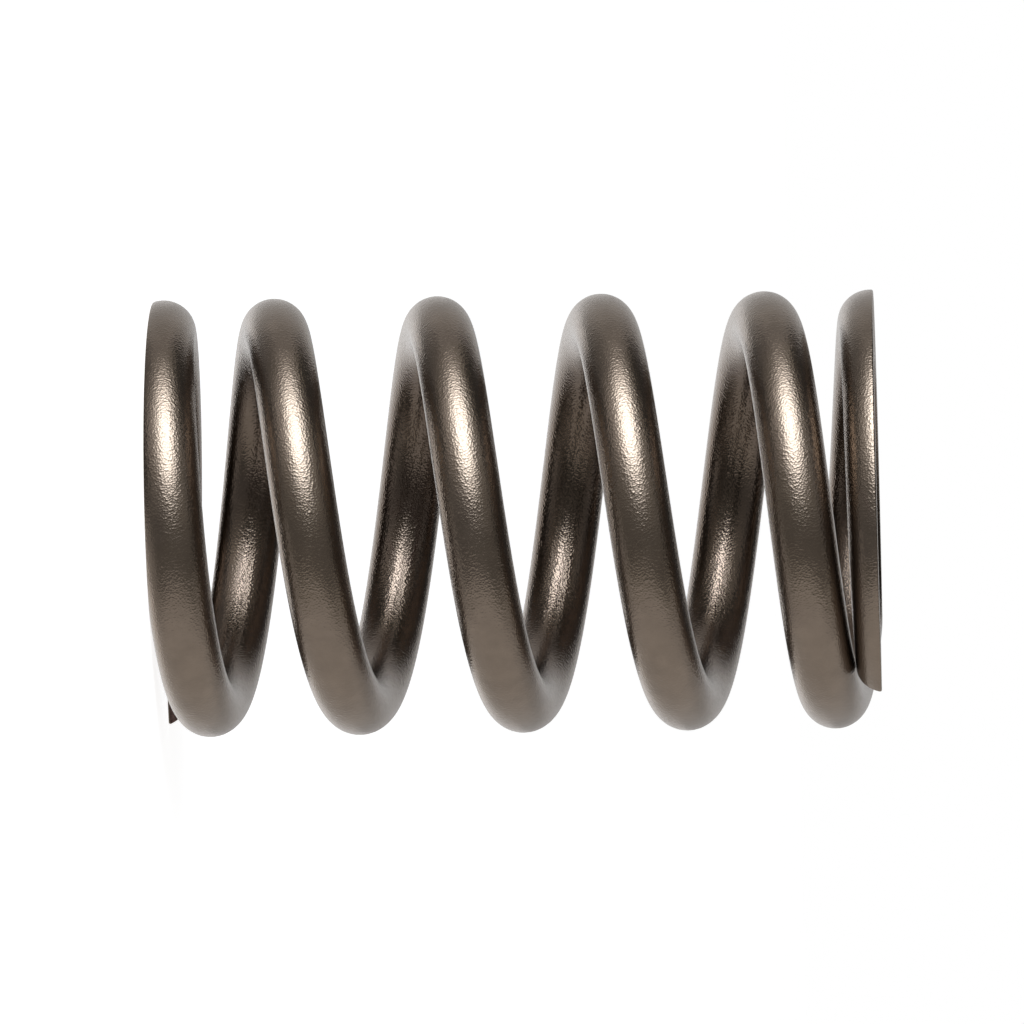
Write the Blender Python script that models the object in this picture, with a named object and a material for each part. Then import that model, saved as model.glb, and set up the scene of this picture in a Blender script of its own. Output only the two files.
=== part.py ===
"""Valve spring of a piston engine.

One round steel wire is coiled into a right-handed helix. The turn at each end is closed, so that
its tip lies against the next turn, and is ground flat, so that the spring stands on a seat and
carries a flat retainer. As on most wound springs, the coil leans on its ground faces by a little.

Metres, +Z up. The lower ground face lies on z = 0. The Z axis runs through the coil's middle, and
the coil's own axis leans from it by LEAN towards +X.
"""

import math

import bmesh
import bpy
import numpy as np

# Driving dimensions in metres. The free length runs from one ground face to the other. Grinding
# leaves the tip thickness of the wire at each tip, which stands off the next turn by the tip gap.
OUTSIDE_DIAMETER = 0.0320
WIRE_DIAMETER = 0.00465
FREE_LENGTH = 0.0525
TIP_THICKNESS = 0.00172
TIP_GAP = 0.00005

# How far each tip is pressed in towards the next turn, and over how many turns from the tip
TIP_LIFT = 0.00055
TIP_LIFT_TURNS = 0.6

# Driving dimensions in turns. Each end stays closed for a short way from its tip and then opens.
TOTAL_TURNS = 5.844
CLOSED_TURNS = 0.05
OPENING_TURNS = 1.63

# Where the lower tip lies, in degrees from +X towards +Y
LOWER_TIP_BEARING = 21.0

# How far the coil leans on its ground faces, in degrees from +Z towards +X
LEAN = 0.6

# Fineness of the faceted wire. The weld share is the share of a wire's diameter within which
# the loose points of its caps and sides are joined.
POINTS_PER_TURN = 40
WIRE_SIDES = 16
WELD_SHARE = 0.0002
SMOOTH_ANGLE = 40.0

# Shot-peened and oiled chrome-silicon steel, a dark bronze grey
STEEL_COLOUR = (0.135, 0.118, 0.098, 1.0)
STEEL_ROUGHNESS = 0.42

MEAN_RADIUS = (OUTSIDE_DIAMETER - WIRE_DIAMETER) / 2


def clear_scene():
    """Remove every object of the scene that the script starts in."""
    for old in list(bpy.data.objects):
        bpy.data.objects.remove(old, do_unlink=True)


def new_collection(name, hidden=False):
    """A collection of this name in the scene, left out of renders if it is hidden."""
    collection = bpy.data.collections.new(name)
    collection.hide_render = hidden
    bpy.context.scene.collection.children.link(collection)
    return collection


def steel_material():
    """The finish of the whole spring."""
    steel = bpy.data.materials.new("shot_peened_spring_steel")
    steel.use_nodes = True
    shader = steel.node_tree.nodes["Principled BSDF"]
    shader.inputs["Base Color"].default_value = STEEL_COLOUR
    shader.inputs["Metallic"].default_value = 1.0
    shader.inputs["Roughness"].default_value = STEEL_ROUGHNESS
    return steel


def smooth_step(share):
    """0 up to a share of 0, 1 from a share of 1, and a smooth S between them."""
    share = np.clip(share, 0.0, 1.0)
    return share * share * (3 - 2 * share)


def openness(turns):
    """How far the coil has opened at each place: 0 in the closed ends, 1 at the full pitch.

    Each end stays closed for CLOSED_TURNS from its tip and opens over OPENING_TURNS.
    """
    from_lower_tip = (turns - CLOSED_TURNS) / OPENING_TURNS
    from_upper_tip = (TOTAL_TURNS - turns - CLOSED_TURNS) / OPENING_TURNS
    return smooth_step(from_lower_tip) * smooth_step(from_upper_tip)


def running_total(turns, values):
    """The integral of the values over the turns, from the first place to each place."""
    steps = (values[1:] + values[:-1]) / 2 * np.diff(turns)
    return np.concatenate([[0.0], np.cumsum(steps)])


def tip_lifts(turns):
    """Height that the pressed-in tips add: upwards at the lower tip and downwards at the upper one."""
    lower_lift = 1 - smooth_step(turns / TIP_LIFT_TURNS)
    upper_lift = 1 - smooth_step((TOTAL_TURNS - turns) / TIP_LIFT_TURNS)
    return TIP_LIFT * (lower_lift - upper_lift)


def wire_heights(turns):
    """Height of the wire's middle at each place along the coil, before it leans.

    The rise for one turn is the closed rise where the openness is 0 and the pitch where it is 1,
    and the tips' lifts are added. Two conditions give both rises. The first turn climbs one wire
    and the gap at the tip, and the whole coil climbs what the free length leaves between the
    middles of the wire at the two tips.
    """
    open_part = running_total(turns, openness(turns))
    closed_part = turns - open_part
    lifts = tip_lifts(turns)
    climbs = [
        [np.interp(1.0, turns, open_part), np.interp(1.0, turns, closed_part)],
        [open_part[-1], closed_part[-1]],
    ]
    lower_tip = TIP_THICKNESS - WIRE_DIAMETER / 2
    upper_tip = FREE_LENGTH - lower_tip
    first_climb = WIRE_DIAMETER + TIP_GAP - (np.interp(1.0, turns, lifts) - lifts[0])
    whole_climb = upper_tip - lower_tip - (lifts[-1] - lifts[0])
    pitch, closed_rise = np.linalg.solve(climbs, [first_climb, whole_climb])
    return lower_tip - lifts[0] + lifts + pitch * open_part + closed_rise * closed_part


def leaned(points):
    """The points turned by the lean about a level line through the coil's middle."""
    lean = math.radians(LEAN)
    middle = np.array([0.0, 0.0, FREE_LENGTH / 2])
    turned_x = np.array([math.cos(lean), 0.0, -math.sin(lean)])
    turned_z = np.array([math.sin(lean), 0.0, math.cos(lean)])
    turned = np.array([turned_x, [0.0, 1.0, 0.0], turned_z])
    return (points - middle) @ turned + middle


def wire_path():
    """Points along the middle of the wire, from the lower tip to the upper one."""
    count = round(TOTAL_TURNS * POINTS_PER_TURN) + 1
    turns = np.linspace(0.0, TOTAL_TURNS, count)
    angles = math.radians(LOWER_TIP_BEARING) + 2 * math.pi * turns
    x = MEAN_RADIUS * np.cos(angles)
    y = MEAN_RADIUS * np.sin(angles)
    return leaned(np.column_stack([x, y, wire_heights(turns)]))


def coil_curve(collection):
    """The coiled wire before grinding, as a curve with a round section and filled ends."""
    data = bpy.data.curves.new("coiled_wire", "CURVE")
    data.dimensions = "3D"
    data.bevel_depth = WIRE_DIAMETER / 2
    data.bevel_resolution = WIRE_SIDES // 2 - 2
    data.use_fill_caps = True
    points = wire_path()
    spline = data.splines.new("POLY")
    spline.points.add(len(points) - 1)
    spline.points.foreach_set("co", np.insert(points, 3, 1.0, axis=1).ravel())
    coil = bpy.data.objects.new("coiled_wire", data)
    collection.objects.link(coil)
    return coil


def as_mesh_object(curve, name, collection):
    """The curve's surface as a closed mesh object in its place. The curve is removed."""
    bpy.context.view_layer.update()
    graph = bpy.context.evaluated_depsgraph_get()
    mesh = bpy.data.meshes.new_from_object(curve.evaluated_get(graph))
    mesh.name = name
    shape = bmesh.new()
    shape.from_mesh(mesh)
    bmesh.ops.remove_doubles(shape, verts=shape.verts, dist=WELD_SHARE * WIRE_DIAMETER)
    bmesh.ops.recalc_face_normals(shape, faces=shape.faces)
    shape.to_mesh(mesh)
    shape.free()
    mesh.shade_smooth()
    mesh.set_sharp_from_angle(angle=math.radians(SMOOTH_ANGLE))
    solid = bpy.data.objects.new(name, mesh)
    solid.matrix_world = curve.matrix_world
    collection.objects.link(solid)
    bpy.data.objects.remove(curve, do_unlink=True)
    return solid


def grinding_block(name, face_height, side, collection):
    """A block whose near face is a ground face: side is -1 for one below it and 1 for one above."""
    width = 2 * OUTSIDE_DIAMETER
    depth = 2 * WIRE_DIAMETER
    mesh = bpy.data.meshes.new(name)
    shape = bmesh.new()
    bmesh.ops.create_cube(shape, size=1.0)
    bmesh.ops.scale(shape, vec=(width, width, depth), verts=shape.verts)
    shape.to_mesh(mesh)
    shape.free()
    block = bpy.data.objects.new(name, mesh)
    block.location = (0.0, 0.0, face_height + side * depth / 2)
    block.hide_render = True
    block.display_type = "WIRE"
    collection.objects.link(block)
    return block


def grind(spring, block):
    """Take away what the block covers, as a grinding wheel takes it from the end turn."""
    cut = spring.modifiers.new(block.name, "BOOLEAN")
    cut.operation = "DIFFERENCE"
    cut.object = block


def build():
    """The spring: a coiled wire with its two ends ground flat."""
    clear_scene()
    parts = new_collection("engine_valve_spring")
    cutters = new_collection("cutters", hidden=True)
    spring = as_mesh_object(coil_curve(parts), "valve_spring", parts)
    spring.data.materials.append(steel_material())
    grind(spring, grinding_block("lower_ground_face", 0.0, -1, cutters))
    grind(spring, grinding_block("upper_ground_face", FREE_LENGTH, 1, cutters))


build()
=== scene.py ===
"""The looks of a valve spring of a piston engine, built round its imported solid.

The spring stands on its lower ground face. The camera lies on its side, so that the picture shows
the spring lying across it, as the photograph does.
"""

import math

import bpy
import numpy as np
from mathutils import Matrix, Vector


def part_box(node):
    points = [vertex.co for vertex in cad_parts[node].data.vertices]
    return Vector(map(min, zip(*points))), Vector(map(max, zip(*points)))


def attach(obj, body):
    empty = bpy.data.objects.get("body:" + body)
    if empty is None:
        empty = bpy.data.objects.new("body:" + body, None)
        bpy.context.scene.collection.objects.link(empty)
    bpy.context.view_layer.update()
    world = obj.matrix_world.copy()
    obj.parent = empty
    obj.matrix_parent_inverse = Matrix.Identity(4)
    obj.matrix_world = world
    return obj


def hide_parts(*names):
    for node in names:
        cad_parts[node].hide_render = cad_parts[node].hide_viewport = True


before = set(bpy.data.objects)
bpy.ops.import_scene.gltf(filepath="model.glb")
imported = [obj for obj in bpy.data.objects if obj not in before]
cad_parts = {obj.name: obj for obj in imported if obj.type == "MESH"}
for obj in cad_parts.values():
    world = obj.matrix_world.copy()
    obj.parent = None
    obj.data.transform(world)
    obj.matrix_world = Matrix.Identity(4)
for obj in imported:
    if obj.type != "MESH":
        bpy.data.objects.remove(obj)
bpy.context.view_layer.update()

# The camera
# A long lens nearly square to the spring's axis, a little above it as the spring stands. The
# camera is turned by nearly a quarter turn, so that the spring's foot is on the picture's left.

PICTURE_WIDTH = 1024
SENSOR_WIDTH = 0.036
MM = 0.001

pixels_per_metre = 13.712 / MM
camera_distance = 845 * MM
camera_elevation = math.radians(2.276)
camera_turn = math.radians(88.566)
view_centre = Vector((0.0, 0.0, 26.395 * MM))
shift_right = -0.607 * MM
shift_up = 0.133 * MM

camera_data = bpy.data.cameras.new("long_lens")
camera_data.sensor_width = SENSOR_WIDTH / MM
camera_data.lens = camera_data.sensor_width * camera_distance * pixels_per_metre / PICTURE_WIDTH
camera_data.clip_start = camera_distance / 10
camera_data.clip_end = camera_distance * 20
camera = bpy.data.objects.new("long_lens", camera_data)
bpy.context.scene.collection.objects.link(camera)
tilt = Matrix.Rotation(math.radians(90) - camera_elevation, 4, "X")
turn = Matrix.Rotation(camera_turn, 4, "Z")
back_off = Matrix.Translation((shift_right, shift_up, camera_distance))
camera.matrix_world = Matrix.Translation(view_centre) @ tilt @ turn @ back_off
bpy.context.scene.camera = camera

# The coiled wire
# One drawn chrome-silicon steel wire, coiled cold, with its end turns closed, their tips pressed
# in, and ground flat, a little askew to the coil. Its edges were broken and all of it shot-peened.

wire_radius = 2.325 * MM
total_turns = 5.844
lower_tip_bearing = math.radians(21)
lean = math.radians(0.6)

# The end turns: the wire's thickness and its gap to the next turn at a ground tip, how far the
# tip is pressed in and over how many turns, and the turns that stay closed and then open out
tip_thickness = 1.72 * MM
tip_gap = 0.05 * MM
tip_lift = 0.55 * MM
tip_lift_turns = 0.6
closed_turns = 0.05
opening_turns = 1.63

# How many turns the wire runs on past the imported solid's tips, to reach where the photograph's do
lower_overrun = 0.011
upper_overrun = 0.004

# The broken edges round the ground faces and round the tips' ends
edge_radius = 0.12 * MM
tip_edge_radius = 0.1 * MM

# The mesh has rings along the wire. Half of a ring has columns on the wire's round part, on the
# broken edge and on the ground flat, and half a column is the allowance where they are told apart
rings_per_turn = 110
round_columns = 28
edge_columns = 4
flat_columns = 12
columns = round_columns + edge_columns + flat_columns
half_column = 0.5

# Where the wire is clear of a ground face, the edge's and the flat's columns draw together into
# this angle of its circle, and spread out to an even share of it over this height
least_flat_angle = 0.2
sliding_height = 1.0 * MM

# The rings on a tip's broken edge, and those on its end face, by their share of its outline
tip_edge_rings = 7
end_rings = 3
end_ring_shares = (0.02, 0.98)

low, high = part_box("valve_spring")
free_length = high.z - low.z

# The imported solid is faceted, and the coil is drawn this much smaller in radius, so that its
# rounder wire stays inside the solid's box
facet_inset = 0.025 * MM
mean_radius = (high.y - low.y) / 2 - facet_inset - wire_radius


def smooth_step(share):
    """0 below a share of 0, 1 above a share of 1, and 3s2 - 2s3 between them."""
    share = np.clip(share, 0.0, 1.0)
    return share * share * (3 - 2 * share)


def running_total(places, values):
    """The integral of the values from the first place to each place, by the trapezium rule."""
    steps = (values[1:] + values[:-1]) / 2 * np.diff(places)
    return np.concatenate([[0.0], np.cumsum(steps)])


def wire_heights(turns):
    """Height of the wire's middle at each turn count, before the coil leans.

    The rise for one turn goes from the closed rise at a tip to the pitch, by a smooth step, and
    back at the other tip. Each tip is also lifted towards its next turn, by the tip lift less a
    smooth step over the lift's turns. The two rises are those that let the first turn climb one
    wire and the tip gap, and the whole coil what the free length leaves between its two tips.
    Beyond those tips the wire runs on at the closed rise.
    """
    samples = 8001
    even = np.linspace(0.0, total_turns, samples)
    from_lower = smooth_step((even - closed_turns) / opening_turns)
    from_upper = smooth_step((total_turns - even - closed_turns) / opening_turns)
    open_part = running_total(even, from_lower * from_upper)
    closed_part = even - open_part
    upper_lift = smooth_step((total_turns - even) / tip_lift_turns)
    lifts = tip_lift * (upper_lift - smooth_step(even / tip_lift_turns))
    lower_tip = tip_thickness - wire_radius
    first_climb = 2 * wire_radius + tip_gap - (np.interp(1.0, even, lifts) - lifts[0])
    whole_climb = free_length - 2 * lower_tip - (lifts[-1] - lifts[0])
    at_first = [np.interp(1.0, even, open_part), np.interp(1.0, even, closed_part)]
    at_last = [open_part[-1], closed_part[-1]]
    pitch, closed_rise = np.linalg.solve([at_first, at_last], [first_climb, whole_climb])
    heights = lower_tip + lifts - lifts[0] + pitch * open_part + closed_rise * closed_part
    beyond = np.minimum(turns, 0.0) + np.maximum(turns - total_turns, 0.0)
    return np.interp(turns, even, heights) + closed_rise * beyond


def wire_frame(turns):
    """Middle of the wire at each turn count, with the outward and the upward axis of its section.

    The middle is a point at the mean radius and the bearing of that turn count. It and the wire's
    direction there are turned by the lean about a level line through the coil's middle, so that
    the top goes towards +X. Outward is level and square to the wire, and upward is square to both.
    """
    bearing = lower_tip_bearing + 2 * math.pi * turns
    heights = wire_heights(turns)
    rise = np.gradient(heights, turns) / (2 * math.pi * mean_radius)
    middle = np.stack(
        [mean_radius * np.cos(bearing), mean_radius * np.sin(bearing), heights - free_length / 2],
        axis=-1,
    )
    along = np.stack([-np.sin(bearing), np.cos(bearing), rise], axis=-1)
    leaning = np.array(Matrix.Rotation(lean, 3, "Y")).T
    middle = middle @ leaning + np.array([0.0, 0.0, free_length / 2])
    along = along @ leaning
    outward = np.cross(along, np.array([0.0, 0.0, 1.0]))
    outward /= np.linalg.norm(outward, axis=1, keepdims=True)
    upward = np.cross(outward, along)
    upward /= np.linalg.norm(upward, axis=1, keepdims=True)
    return middle, outward, upward


def ground_outline(share, cut):
    """Half the outline of a round wire ground flat, from its far side to the middle of the flat.

    The share runs from 0 to 1. The cut is the flat's place on the section's axis, and below minus
    the wire's radius it is clear of the wire. The outline is the wire's own arc, then an arc of
    the edge radius that touches both the wire's circle and the flat, then the flat. Each of the
    three has its own columns, so that the flat's edge runs along one line of the mesh. Clear of
    the flat all columns lie on the circle, and the angle that the edge's and the flat's share
    grows with the clearance, by a smooth step, up to an even one.
    Returns the place across and along the axis, and 1 on the flat or 0 off it.
    """
    column = share * columns
    depth = np.maximum(cut, -wire_radius)
    rest = wire_radius - edge_radius
    edge_height = depth + edge_radius
    edge_across = np.sqrt(np.maximum(rest**2 - edge_height**2, 0.0))
    meeting = np.arctan2(edge_across, edge_height)
    round_angle = meeting * column / round_columns
    edge_angle = meeting + (math.pi - meeting) * (column - round_columns) / edge_columns
    on_round = column < round_columns + half_column
    off_flat = column < round_columns + edge_columns - half_column
    across = np.select(
        [on_round, off_flat],
        [wire_radius * np.sin(round_angle), edge_across + edge_radius * np.sin(edge_angle)],
        edge_across * (columns - column) / flat_columns,
    )
    along = np.select(
        [on_round, off_flat],
        [wire_radius * np.cos(round_angle), edge_height + edge_radius * np.cos(edge_angle)],
        depth,
    )

    even_angle = math.pi * round_columns / columns
    evenness = smooth_step((-wire_radius - cut) / sliding_height)
    last_round = math.pi - least_flat_angle + (even_angle - math.pi + least_flat_angle) * evenness
    past_round = (column - round_columns) / (columns - round_columns)
    clear_angle = np.where(
        on_round,
        last_round * column / round_columns,
        last_round + (math.pi - last_round) * past_round,
    )
    clear = cut <= -wire_radius
    across = np.where(clear, wire_radius * np.sin(clear_angle), across)
    along = np.where(clear, wire_radius * np.cos(clear_angle), along)
    return across, along, np.where(off_flat | clear, 0.0, 1.0)


def ring_places():
    """Turn count, inset and fill of each ring of the mesh, from the wire's lower end to its upper.

    Over a tip's broken edge the rings follow a quarter circle, and the inset is how far inside
    the wire's own outline they are. On the tip's end face they shrink towards its middle, and the
    fill is the share of the outline that is left.
    """
    length_per_turn = 2 * math.pi * mean_radius
    quarter = np.linspace(0.0, math.pi / 2, tip_edge_rings)
    edge_turns = tip_edge_radius * (1 - np.cos(quarter)) / length_per_turn
    edge_inset = tip_edge_radius * (1 - np.sin(quarter))
    edge_fill = np.ones(tip_edge_rings)
    face_fill = np.linspace(*end_ring_shares, end_rings)
    face_inset = np.full(end_rings, tip_edge_radius)
    count = round(total_turns * rings_per_turn)
    first = np.full(end_rings, -lower_overrun)
    last = np.full(end_rings, total_turns + upper_overrun)
    body_ends = first[0] + edge_turns[-1], last[0] - edge_turns[-1]
    body = np.linspace(*body_ends, count)[1:-1]
    turns = np.concatenate([first, first[0] + edge_turns, body, last[0] - edge_turns[::-1], last])
    inset = np.concatenate([face_inset, edge_inset, 0 * body, edge_inset[::-1], face_inset])
    fill = np.concatenate([face_fill, edge_fill, 0 * body + 1, edge_fill, face_fill[::-1]])
    return turns, inset, fill


def coil_points():
    """The mesh's points as rings by points round the wire, with two numbers for each point.

    Each ring is the ground outline at its place on the wire. The lower half of the coil is ground
    from below and the upper half from above, and rings clear of a ground face are full circles.
    The first number is 1 on a ground face, and the second goes from 0 on the coil's inner side to
    1 on its outer side, as the place across the wire does.
    """
    turns, inset, fill = ring_places()
    path = np.unique(turns)
    middle, outward, upward = [a[np.searchsorted(path, turns)] for a in wire_frame(path)]
    side = np.where(turns < total_turns / 2, 1.0, -1.0)
    plane = np.where(side > 0, 0.0, free_length)
    cut = side * (plane - middle[:, 2]) / upward[:, 2]
    share = np.arange(2 * columns) / (2 * columns)
    half_share = 1 - np.abs(1 - 2 * share)
    sign = np.where(share < 0.5, 1.0, -1.0)
    from_far_side = np.where(side[:, None] > 0, half_share, 1 - half_share)
    across, along, flat = ground_outline(from_far_side, cut[:, None])
    cut = np.maximum(cut, -wire_radius)
    outer_side = (1 + sign * across / wire_radius) / 2

    # The inset comes off both sides of the outline, and the fill shrinks it about its own centre
    centre = (wire_radius + cut) / 2
    across_room = 1 - inset / across.max(axis=1)
    along_room = 1 - inset / (wire_radius - cut) * 2
    across = across * (across_room * fill)[:, None]
    along = centre[:, None] + (along - centre[:, None]) * (along_room * fill)[:, None]
    points = middle[:, None] + (sign * across)[..., None] * outward[:, None]
    points = points + (side[:, None] * along)[..., None] * upward[:, None]
    return points + np.array([0.0, 0.0, low.z]), flat * (inset == 0)[:, None], outer_side


def coil_mesh():
    """The rings joined by four-sided faces and closed at each tip by a fan.

    Faces wholly on a ground face take the second material, and those of the tips' ends the third.
    """
    peened, ground, sheared = 0, 1, 2
    points, flat, outer_side = coil_points()
    rings, around, _ = points.shape
    ends = points[[0, -1]].mean(axis=1)
    index = np.arange(rings * around).reshape(rings, around)
    after = np.roll(index, -1, axis=1)
    sides = np.stack([index[:-1], after[:-1], after[1:], index[1:]], axis=-1).reshape(-1, 4)
    first = np.stack([np.full(around, rings * around), after[0], index[0]], axis=-1)
    last = np.stack([np.full(around, rings * around + 1), index[-1], after[-1]], axis=-1)
    mesh = bpy.data.meshes.new("coiled_wire")
    mesh.from_pydata(
        np.concatenate([points.reshape(-1, 3), ends]).tolist(),
        [],
        sides.tolist() + first.tolist() + last.tolist(),
    )
    on_flat = flat.reshape(-1)[sides].min(axis=1) > 0
    side_slots = np.where(on_flat, ground, peened)
    side_slots[: end_rings * around] = sheared
    side_slots[-end_rings * around :] = sheared
    slots = np.concatenate([side_slots, np.full(2 * around, sheared)])
    mesh.polygons.foreach_set("material_index", slots.astype(np.int32))
    ends_outer_side = [0.5, 0.5]
    shares = np.concatenate([outer_side.reshape(-1), ends_outer_side])
    side_share = mesh.attributes.new("outer_side", "FLOAT", "POINT")
    side_share.data.foreach_set("value", shares.astype(np.float32))
    mesh.shade_smooth()
    mesh.validate()
    return mesh


def linear(hex_colour):
    """A colour written as sRGB hex, as the linear values that the shaders take."""
    shares = [int(hex_colour[i : i + 2], 16) / 255 for i in (1, 3, 5)]
    curve = [s / 12.92 if s <= 0.04045 else ((s + 0.055) / 1.055) ** 2.4 for s in shares]
    return (*curve, 1.0)


def add_node(material, kind, settings=None, links=None):
    """A new node in the material.

    The settings are values of the node itself or of its inputs, and the links give the sources of
    its inputs.
    """
    node = material.node_tree.nodes.new(kind)
    for name, value in (settings or {}).items():
        if name in node.inputs:
            node.inputs[name].default_value = value
        else:
            setattr(node, name, value)
    for name, source in (links or {}).items():
        material.node_tree.links.new(source, node.inputs[name])
    return node


def bare_steel(name):
    """A material of bare metal, with its shader and the place on the object in metres."""
    steel = bpy.data.materials.new(name)
    steel.use_nodes = True
    shader = steel.node_tree.nodes["Principled BSDF"]
    shader.inputs["Metallic"].default_value = 1.0
    return steel, shader, add_node(steel, "ShaderNodeTexCoord").outputs["Object"]


def blended_colour(steel, share, first_end, second_end):
    """A colour that goes from the first end's to the second's as the share goes over their places."""
    ramp = add_node(steel, "ShaderNodeValToRGB", links={"Fac": share})
    for element, (place, hex_colour) in zip(ramp.color_ramp.elements, (first_end, second_end)):
        element.position = place
        element.color = linear(hex_colour)
    return ramp.outputs["Color"]


def roughen(steel, shader, height, depth):
    """Shade the surface as if it stood out by the height, which runs from 0 to about 1, times the depth."""
    settings = {"Strength": 1.0, "Distance": depth}
    bump = add_node(steel, "ShaderNodeBump", settings, {"Height": height})
    steel.node_tree.links.new(bump.outputs["Normal"], shader.inputs["Normal"])


def peened_steel():
    """Chrome-silicon spring steel, shot-peened and oiled.

    The shot leaves overlapping dimples 0.15 mm across, which break the lamp's reflection into
    bright and dark specks. Heat has browned the steel. The shot comes from outside, so the outer
    side of the coil is scoured rougher than the inner side, where more of the smooth skin of the
    drawn wire is left. The inner side is also coloured darker, as painted shade of the coil's
    inside, where the turns shade one another.
    """
    stain_size = 1.6 * MM
    dimple_size = 0.15 * MM
    dimple_depth = 0.02 * MM
    inner_place, outer_place = 0.2, 0.8
    inner_roughness, outer_roughness = 0.19, 0.26

    steel, shader, place = bare_steel("shot_peened_spring_steel")
    side = add_node(steel, "ShaderNodeAttribute", {"attribute_name": "outer_side"}).outputs["Fac"]
    # The inner side's darker colour is painted shade of the coil's inside; the outer one is the steel's own
    colour = blended_colour(steel, side, (inner_place, "#695d53"), (outer_place, "#7d7064"))
    stains = add_node(
        steel,
        "ShaderNodeTexNoise",
        {"Scale": 1 / stain_size, "Detail": 4.0, "Roughness": 0.6},
        {"Vector": place},
    )
    stain_share = add_node(
        steel,
        "ShaderNodeMapRange",
        {"From Min": 0.3, "From Max": 0.7, "To Min": 0.92, "To Max": 1.08},
        {"Value": stains.outputs["Fac"]},
    )
    stained = add_node(steel, "ShaderNodeVectorMath", {"operation": "SCALE"})
    steel.node_tree.links.new(colour, stained.inputs[0])
    steel.node_tree.links.new(stain_share.outputs["Result"], stained.inputs["Scale"])
    steel.node_tree.links.new(stained.outputs[0], shader.inputs["Base Color"])
    gloss = add_node(
        steel,
        "ShaderNodeMapRange",
        {
            "From Min": inner_place,
            "From Max": outer_place,
            "To Min": inner_roughness,
            "To Max": outer_roughness,
        },
        {"Value": side},
    )
    steel.node_tree.links.new(gloss.outputs["Result"], shader.inputs["Roughness"])

    # The square of the distance from a dimple's middle gives it the bowl that a ball leaves
    dimples = add_node(
        steel,
        "ShaderNodeTexVoronoi",
        {"feature": "SMOOTH_F1", "Scale": 1 / dimple_size, "Smoothness": 0.3},
        {"Vector": place},
    )
    bowl = add_node(steel, "ShaderNodeMath", {"operation": "POWER"})
    bowl.inputs[1].default_value = 2.0
    steel.node_tree.links.new(dimples.outputs["Distance"], bowl.inputs[0])
    roughen(steel, shader, bowl.outputs["Value"], dimple_depth)
    return steel


def ground_steel():
    """The same steel where the end turns were ground flat.

    The side of the grinding wheel leaves fine marks nearly in line across both turns, which
    spread the light to a paler, duller grey. They are 0.1 mm apart on the real face, and are
    drawn 0.2 mm apart.
    """
    mark_spacing = 0.2 * MM
    mark_depth = 0.002 * MM
    mark_turn = math.radians(31)
    mark_stretch = 0.02

    steel, shader, place = bare_steel("ground_spring_steel")
    across_marks = add_node(
        steel,
        "ShaderNodeMapping",
        {"Rotation": (0.0, 0.0, mark_turn), "Scale": (mark_stretch, 1.0, 1.0)},
        {"Vector": place},
    )
    marks = add_node(
        steel,
        "ShaderNodeTexNoise",
        {"Scale": 1 / mark_spacing, "Detail": 3.0, "Roughness": 0.7},
        {"Vector": across_marks.outputs["Vector"]},
    ).outputs["Fac"]
    colour = blended_colour(steel, marks, (0.3, "#857970"), (0.7, "#b3aaa1"))
    steel.node_tree.links.new(colour, shader.inputs["Base Color"])
    shader.inputs["Roughness"].default_value = 0.45
    roughen(steel, shader, marks, mark_depth)
    return steel


def sheared_steel():
    """The same steel where the wire was cut off, at both tips.

    The shears tear it rather than cut it, and the peening and the grinding pass it by, so it
    stays rough. It is coloured a dark reddish brown.
    """
    grain_size = 0.3 * MM
    grain_depth = 0.06 * MM

    steel, shader, place = bare_steel("sheared_spring_steel")
    grain = add_node(
        steel,
        "ShaderNodeTexNoise",
        {"Scale": 1 / grain_size, "Detail": 4.0, "Roughness": 0.7},
        {"Vector": place},
    ).outputs["Fac"]
    colour = blended_colour(steel, grain, (0.35, "#3a2d2a"), (0.65, "#6a5550"))
    steel.node_tree.links.new(colour, shader.inputs["Base Color"])
    shader.inputs["Roughness"].default_value = 0.5
    roughen(steel, shader, grain, grain_depth)
    return steel


coil_data = coil_mesh()
coil_data.materials.append(peened_steel())
coil_data.materials.append(ground_steel())
coil_data.materials.append(sheared_steel())
coil = bpy.data.objects.new("coiled_wire", coil_data)
bpy.context.scene.collection.objects.link(coil)
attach(coil, "root")
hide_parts("valve_spring")

# The studio
# A round white table under the spring, and white all round behind it. One soft round lamp hangs
# beside the camera, on the side that is up in the picture, brightest in its middle. Grey, black
# and white cards round the spring show only in reflections, and give the wire its dark bands.

# The paint's number is the share of the light that it sends back, and the glow lifts the table to
# white in the picture
table_radius = 3.0
table_rim_points = 96
table_paint = 0.8
table_glow = 0.84

# The world's light on the table, which is weaker than the white that the camera and the spring's
# reflections see
fill_radiance = 0.2

# The lamp is four discs of light, one behind the other, whose light adds up where they overlap:
# each one's half angle in degrees as the spring sees it, and its brightness, where white is 1
lamp_discs = ((12, 2.5), (19, 2.5), (26, 2.3), (33, 1.5))
lamp_distance = 0.9
lamp_disc_gap = 0.01
lamp_up = math.radians(45)
lamp_across = math.radians(4)
lamp_colour = (0.92, 1.0, 1.08)

card_distance = 1.3
card_step = math.radians(5)


def towards(across, up):
    """The direction at an angle across the picture and an angle up it, both from the camera's."""
    return np.stack(
        [-np.sin(up), -np.cos(up) * np.cos(across), np.cos(up) * np.sin(across)],
        axis=-1,
    )


def seen_ray(material_tree):
    """1 for the rays that show the white surround: those of the camera, and of mirror and glass."""
    path = material_tree.nodes.new("ShaderNodeLightPath")
    total = path.outputs["Is Camera Ray"]
    for name in ("Is Glossy Ray", "Is Transmission Ray"):
        add = material_tree.nodes.new("ShaderNodeMath")
        add.operation = "ADD"
        add.use_clamp = True
        material_tree.links.new(total, add.inputs[0])
        material_tree.links.new(path.outputs[name], add.inputs[1])
        total = add.outputs[0]
    return total


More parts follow.
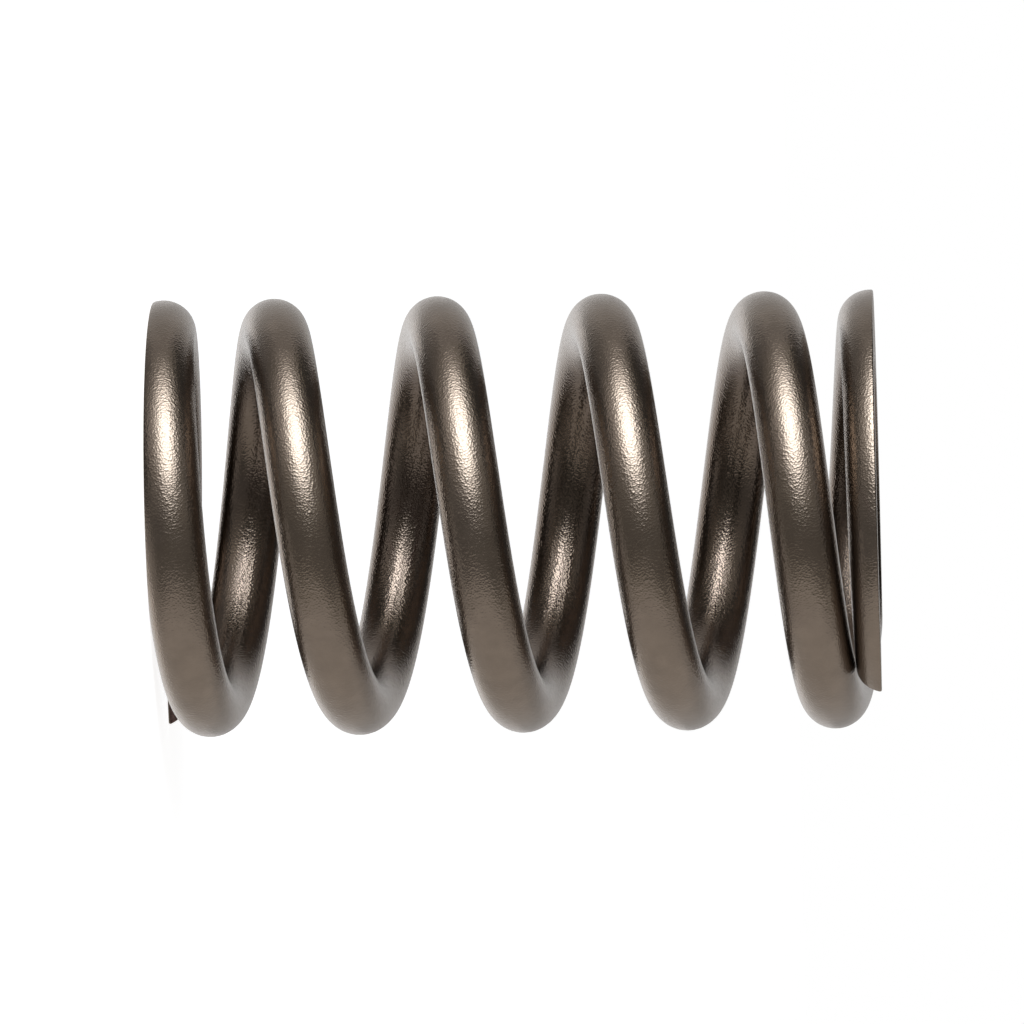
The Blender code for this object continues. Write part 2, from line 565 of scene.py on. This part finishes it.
def mirror_card(name, across_range, up_range, radiance):
    """A card of one even brightness that only reflections show.

    It is bent round the spring: a grid of angles across and up the picture, in degrees from the
    camera, at one distance from the spring's middle. Its brightness is 1 for white.
    """
    across_ends, up_ends = np.radians(across_range), np.radians(up_range)
    card_columns = 2 + int(np.ptp(across_ends) / card_step)
    card_rows = 2 + int(np.ptp(up_ends) / card_step)
    across, up = np.meshgrid(
        np.linspace(*across_ends, card_columns),
        np.linspace(*up_ends, card_rows),
    )
    points = np.array(view_centre) + card_distance * towards(across, up)
    index = np.arange(card_rows * card_columns).reshape(card_rows, card_columns)
    faces = np.stack([index[:-1, :-1], index[:-1, 1:], index[1:, 1:], index[1:, :-1]], axis=-1)
    data = bpy.data.meshes.new(name)
    data.from_pydata(points.reshape(-1, 3).tolist(), [], faces.reshape(-1, 4).tolist())
    paper = bpy.data.materials.new(name)
    paper.use_nodes = True
    paper.node_tree.nodes.clear()
    glow = paper.node_tree.nodes.new("ShaderNodeEmission")
    glow.inputs["Strength"].default_value = radiance
    output = paper.node_tree.nodes.new("ShaderNodeOutputMaterial")
    paper.node_tree.links.new(glow.outputs[0], output.inputs["Surface"])
    data.materials.append(paper)
    card = bpy.data.objects.new(name, data)
    bpy.context.scene.collection.objects.link(card)
    card.visible_camera = False
    card.visible_diffuse = False
    card.visible_transmission = False
    card.visible_shadow = False


around = np.linspace(0.0, 2 * math.pi, table_rim_points, endpoint=False)
rim = np.stack([np.cos(around), np.sin(around), 0 * around], axis=-1) * table_radius
floor_data = bpy.data.meshes.new("white_table")
floor_data.from_pydata(rim.tolist(), [], [list(range(table_rim_points))])
paint = bpy.data.materials.new("white_painted_board")
paint.use_nodes = True
paint_nodes = paint.node_tree.nodes
paint_shader = paint_nodes["Principled BSDF"]
paint_shader.inputs["Base Color"].default_value = (table_paint, table_paint, table_paint, 1.0)
paint_shader.inputs["Roughness"].default_value = 0.9
paint_shader.inputs["Specular IOR Level"].default_value = 0.0
paint_shader.inputs["Emission Color"].default_value = linear("#ffffff")
lift = paint_nodes.new("ShaderNodeMath")
lift.operation = "MULTIPLY"
lift.inputs[1].default_value = table_glow
paint.node_tree.links.new(seen_ray(paint.node_tree), lift.inputs[0])
paint.node_tree.links.new(lift.outputs[0], paint_shader.inputs["Emission Strength"])
floor_data.materials.append(paint)
floor = bpy.data.objects.new("white_table", floor_data)
bpy.context.scene.collection.objects.link(floor)
floor.visible_glossy = False
floor.visible_shadow = False

world = bpy.data.worlds.new("white_studio")
world.use_nodes = True
bpy.context.scene.world = world
background = world.node_tree.nodes["Background"]
background.inputs["Color"].default_value = linear("#ffffff")
strength = world.node_tree.nodes.new("ShaderNodeMapRange")
strength.inputs["To Min"].default_value = fill_radiance
strength.inputs["To Max"].default_value = 1.0
world.node_tree.links.new(seen_ray(world.node_tree), strength.inputs["Value"])
world.node_tree.links.new(strength.outputs[0], background.inputs["Strength"])

lamp_direction = Vector(towards(lamp_across, lamp_up))
for number, (half_angle, radiance) in enumerate(lamp_discs):
    disc_distance = lamp_distance + number * lamp_disc_gap
    disc_radius = disc_distance * math.tan(math.radians(half_angle))
    disc_data = bpy.data.lights.new(f"lamp_disc_{half_angle}", "AREA")
    disc_data.shape = "DISK"
    disc_data.size = 2 * disc_radius
    disc_data.energy = radiance * math.pi * math.pi * disc_radius**2
    disc_data.color = lamp_colour
    disc = bpy.data.objects.new(f"lamp_disc_{half_angle}", disc_data)
    bpy.context.scene.collection.objects.link(disc)
    disc.location = view_centre + lamp_direction * disc_distance
    disc.rotation_mode = "QUATERNION"
    disc.rotation_quaternion = lamp_direction.to_track_quat("Z", "Y")

mirror_card("grey_card_below", (-180, 180), (-88, -35), 0.82)
mirror_card("dark_card_below_camera", (-75, 75), (-35, 2), 0.22)
mirror_card("dark_card_beside_camera", (-75, 75), (2, 22), 0.35)
mirror_card("grey_card_left_above", (-75, -35), (22, 62), 0.8)
mirror_card("grey_card_right_above", (40, 70), (22, 62), 0.38)
mirror_card("black_card_right", (75, 142), (-15, 62), 0.06)
mirror_card("grey_card_right_below", (75, 180), (-35, -15), 0.6)
mirror_card("grey_card_behind_right", (142, 180), (-15, 22), 0.73)
mirror_card("black_card_left", (-112, -75), (0, 32), 0.06)
mirror_card("grey_card_left_below", (-112, -75), (-35, 0), 0.56)
mirror_card("dark_card_left_above", (-135, -75), (32, 62), 0.26)
mirror_card("white_card_behind_left", (-165, -112), (-25, 18), 1.35)
mirror_card("dark_card_behind_left", (-140, -112), (18, 32), 0.15)
mirror_card("grey_card_behind_above", (142, 225), (22, 62), 0.68)
mirror_card("dark_card_overhead", (60, 300), (62, 88), 0.44)

bpy.context.scene.view_settings.view_transform = "Standard"
